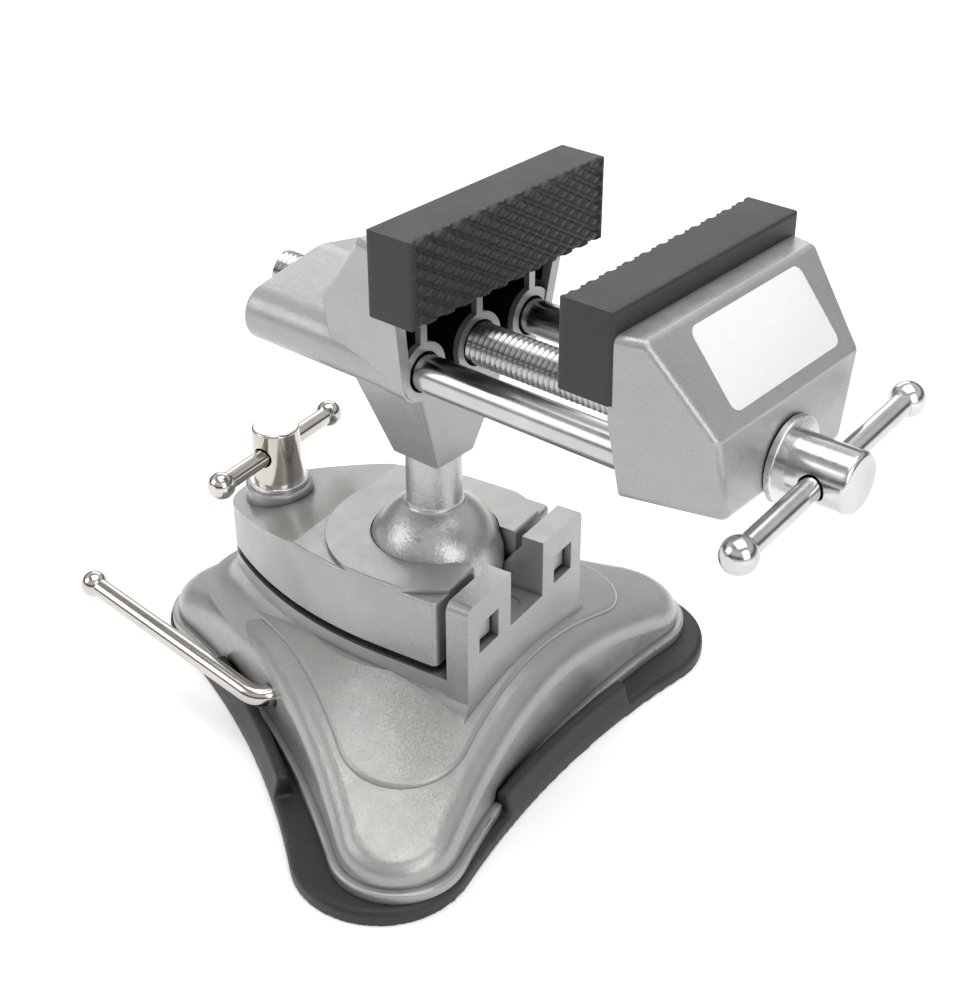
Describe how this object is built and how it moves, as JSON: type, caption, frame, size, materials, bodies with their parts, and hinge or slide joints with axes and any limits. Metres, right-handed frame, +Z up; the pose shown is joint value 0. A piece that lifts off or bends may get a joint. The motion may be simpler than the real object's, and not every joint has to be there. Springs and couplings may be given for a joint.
{
  "type": "suction base vise",
  "caption": "Small bench vise on a ball joint and a three-lobed suction base, with rubber-faced jaws, guide rods, screw and sliding T-bar handles.",
  "frame": {"origin": "on the bench plane, straight below the centre of the ball", "axes": "+X clamping direction from the fixed jaw to the moving jaw, +Y along the jaws, +Z up"},
  "size_m": [0.2328, 0.1734, 0.1723],
  "materials": {
    "cast_silver": "silver metallic paint over a casting",
    "ball_silver": "rougher silver paint on a steel ball",
    "black_rubber": "matte charcoal rubber",
    "bright_steel": "ground and polished",
    "nickel": "bright nickel plating",
    "zinc_steel": "zinc plating",
    "inner_steel": "plain pressed steel"
  },
  "bodies": {
    "base": {"base_casting": "cast_silver", "suction_pad": "black_rubber"},
    "lever": {"lever_rod": "nickel", "lever_ball": "nickel", "lever_cam": "inner_steel", "lever_clip": "zinc_steel"},
    "suction_lift": {"pad_plate": "inner_steel", "lift_yoke": "inner_steel"},
    "clamp_ring": {"clamp_washer": "zinc_steel"},
    "clamp_screw": {"clamp_screw": "nickel"},
    "clamp_tbar": {"clamp_bar": "nickel", "clamp_bar_ball_near": "nickel", "clamp_bar_ball_far": "nickel"},
    "clamp_plate": {"clamp_plate": "cast_silver"},
    "ball": {"ball_stem": "ball_silver"},
    "head": {"fixed_jaw": "cast_silver", "fixed_jaw_pad": "black_rubber"},
    "moving_jaw": {"movable_jaw": "cast_silver", "movable_jaw_pad": "black_rubber", "guide_rod_near": "bright_steel", "guide_rod_far": "bright_steel", "screw_washer": "zinc_steel"},
    "screw": {"lead_screw": "bright_steel", "screw_clip": "zinc_steel"},
    "handle": {"handle_bar": "nickel", "handle_bar_ball_near": "nickel", "handle_bar_ball_far": "nickel"}
  },
  "joints": [
    {"name": "lever_turn", "type": "hinge", "parent": "base", "child": "lever", "pos_m": [-0.00704, -0.00094, 0.0187], "axis": [0.3811, 0.9245, 0], "range_deg": [0, 150]},
    {"name": "suction_lift", "type": "slide", "parent": "base", "child": "suction_lift", "axis": [0, 0, 1], "range_m": [0, 0.00317]},
    {"name": "clamp_lift", "type": "slide", "parent": "base", "child": "clamp_ring", "axis": [0, 0, 1], "range_m": [0, 0.0025]},
    {"name": "clamp_turn", "type": "hinge", "parent": "clamp_ring", "child": "clamp_screw", "pos_m": [-0.0563, -0.00751, 0.0644], "axis": [0, 0, 1], "range_deg": [0, 720]},
    {"name": "clamp_tbar_slide", "type": "slide", "parent": "clamp_screw", "child": "clamp_tbar", "axis": [-0.1323, 0.9912, 0], "range_m": [-0.014, 0.014]},
    {"name": "plate_tilt", "type": "hinge", "parent": "base", "child": "clamp_plate", "pos_m": [0.02666, 0.00356, 0.05285], "axis": [-0.1323, 0.9912, 0], "range_deg": [0, 1.5]},
    {"name": "ball_tilt", "type": "hinge", "parent": "base", "child": "ball", "pos_m": [0, 0, 0.0567], "axis": [-0.1323, 0.9912, 0], "range_deg": [-30, 90]},
    {"name": "head_swivel", "type": "hinge", "parent": "ball", "child": "head", "pos_m": [0, 0, 0.0912], "axis": [0, 0, 1], "continuous": true},
    {"name": "jaw_slide", "type": "slide", "parent": "head", "child": "moving_jaw", "axis": [1, 0, 0], "range_m": [-0.0426, 0.012]},
    {"name": "screw_turn", "type": "hinge", "parent": "moving_jaw", "child": "screw", "pos_m": [0.1, 0, 0.1294], "axis": [1, 0, 0], "range_deg": [-8763.93, 2469.07]},
    {"name": "handle_slide", "type": "slide", "parent": "screw", "child": "handle", "axis": [0, 0.9942, 0.108], "range_m": [-0.024, 0.024]}
  ],
  "couplings": [
    {"joint": "lever_turn", "follows": "suction_lift", "rad_per_m": 825.3},
    {"joint": "clamp_turn", "follows": "clamp_lift", "rad_per_m": 5026.5},
    {"joint": "plate_tilt", "follows": "clamp_lift", "rad_per_m": 10.47},
    {"joint": "screw_turn", "follows": "jaw_slide", "rad_per_m": 3590.4}
  ]
}
